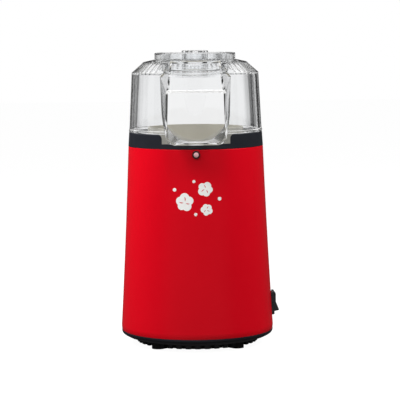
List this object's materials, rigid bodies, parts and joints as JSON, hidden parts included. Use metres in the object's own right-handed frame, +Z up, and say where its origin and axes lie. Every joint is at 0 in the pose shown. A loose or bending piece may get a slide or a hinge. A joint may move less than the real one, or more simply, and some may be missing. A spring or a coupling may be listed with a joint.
{
  "type": "popcorn maker",
  "caption": "Upright hot-air popcorn maker: tapered red housing, black collar and base, clear lift-off dome with a front chute, measuring cup in the top and a side rocker switch.",
  "frame": {"origin": "on the vertical axis of the round body, at the surface that the foot ring rests on", "axes": "+Z up along the body's axis; the chute faces -Y; the power switch is on the +X side; the cord enters at the back, +Y"},
  "size_m": [0.1569, 0.169, 0.29],
  "materials": {
    "red_gloss": "smooth high gloss",
    "black_plastic": "fine satin grain",
    "black_rubber": "matt rubber",
    "clear_plastic": "clear, polished",
    "chamber_aluminium": "drawn, satin",
    "white_silicone": "matt silicone",
    "steel": "zinc plated",
    "duct_steel": "bright rolled sheet",
    "mica": "layered mica board",
    "heater_wire": "oxidised resistance wire",
    "fan_plastic": "natural moulded",
    "copper_winding": "lacquered copper",
    "magnet": "ferrite",
    "switch_black": "semi-gloss",
    "brass_contact": "bright",
    "lamp_bezel": "dark gloss ring",
    "lamp_lens": "frosted lens",
    "circuit_board": "paper laminate",
    "white_plastic": "insulation sleeve"
  },
  "bodies": {
    "housing": {"outer_housing": "red_gloss", "base_pan": "black_plastic", "foot_ring": "black_rubber", "base_screws": "steel", "collar_ring": "black_plastic", "collar_screws": "steel", "popping_chamber": "chamber_aluminium", "chamber_gasket": "white_silicone", "chamber_ring": "steel", "chamber_screws": "steel", "hot_air_duct": "duct_steel", "fan_housing": "black_plastic", "duct_screws": "steel", "heater_frame": "mica", "heater_coil": "heater_wire", "thermostat": "duct_steel", "thermal_fuse": "duct_steel", "motor_can": "steel", "motor_magnets": "magnet", "motor_end_cap": "black_plastic", "motor_screws": "steel", "switch_body": "switch_black", "switch_terminals": "brass_contact", "lamp_bezel": "lamp_bezel", "indicator_lamp": "lamp_lens", "cord_gland": "black_rubber", "rectifier_board": "circuit_board", "rectifier_diodes": "switch_black", "terminal_block": "fan_plastic", "terminal_screws": "brass_contact", "lead_wires": "white_plastic"},
    "dome": {"clear_dome": "clear_plastic"},
    "cup": {"measuring_cup": "clear_plastic"},
    "rocker": {"switch_rocker": "switch_black"},
    "fan_rotor": {"impeller": "fan_plastic", "motor_shaft": "steel", "motor_rotor": "copper_winding"}
  },
  "joints": [
    {"name": "dome_lift", "type": "slide", "parent": "housing", "child": "dome", "axis": [0, 0, 1], "range_m": [0, 0.12]},
    {"name": "cup_lift", "type": "slide", "parent": "dome", "child": "cup", "axis": [0, 0, 1], "range_m": [0, 0.06]},
    {"name": "rocker_tilt", "type": "hinge", "parent": "housing", "child": "rocker", "pos_m": [0.0743, 0, 0.0388], "axis": [0, 1, 0], "range_deg": [0, 22]},
    {"name": "fan_spin", "type": "hinge", "parent": "housing", "child": "fan_rotor", "pos_m": [0, 0, 0.1], "axis": [0, 0, 1], "continuous": true}
  ]
}
